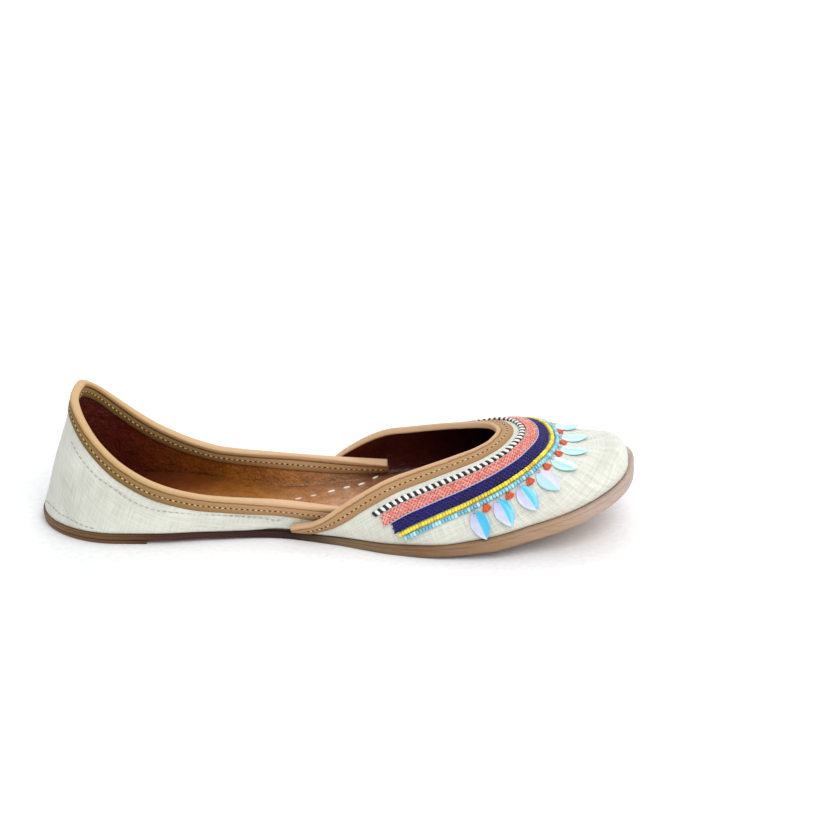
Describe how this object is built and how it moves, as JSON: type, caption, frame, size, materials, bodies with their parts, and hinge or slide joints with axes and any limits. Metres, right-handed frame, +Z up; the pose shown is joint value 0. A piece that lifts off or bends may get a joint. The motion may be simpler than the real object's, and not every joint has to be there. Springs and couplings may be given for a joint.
{
  "type": "mojari shoe",
  "caption": "Flat slip-on mojari shoe, cloth upper on a thin leather sole with an upturned square toe, bound edges and a vamp trimmed with bands, beads and leaf sequins.",
  "frame": {"origin": "on the floor under the middle of the sole's length and width", "axes": "+X towards the toe, +Y to one side, +Z up"},
  "size_m": [0.25, 0.0838, 0.0573],
  "materials": {
    "cloth": "matte slubbed cream cloth",
    "sole_leather": "burnished sole leather",
    "lining_leather": "satin lining leather",
    "binding_leather": "satin tan leather",
    "striped_cord": "black and white cord",
    "pink_embroidery": "cotton chain stitch",
    "navy_embroidery": "cotton chain stitch",
    "yellow_beads": "opaque seed beads",
    "blue_beads": "opaque seed beads",
    "sequin_film": "iridescent film"
  },
  "bodies": {
    "root": {"outsole": "sole_leather", "heel_lift": "sole_leather", "insole": "lining_leather", "upper": "cloth", "topline_binding": "binding_leather", "vamp_binding": "binding_leather", "striped_cord": "striped_cord", "pink_band": "pink_embroidery", "navy_band": "navy_embroidery", "yellow_bead_row": "yellow_beads", "blue_bead_row": "blue_beads", "leaf_sequin_01": "sequin_film", "leaf_sequin_02": "sequin_film", "leaf_sequin_03": "sequin_film", "leaf_sequin_04": "sequin_film", "leaf_sequin_05": "sequin_film", "leaf_sequin_06": "sequin_film", "leaf_sequin_07": "sequin_film", "leaf_sequin_08": "sequin_film", "leaf_sequin_09": "sequin_film", "leaf_sequin_10": "sequin_film", "leaf_sequin_11": "sequin_film", "leaf_sequin_12": "sequin_film"}
  },
  "joints": []
}
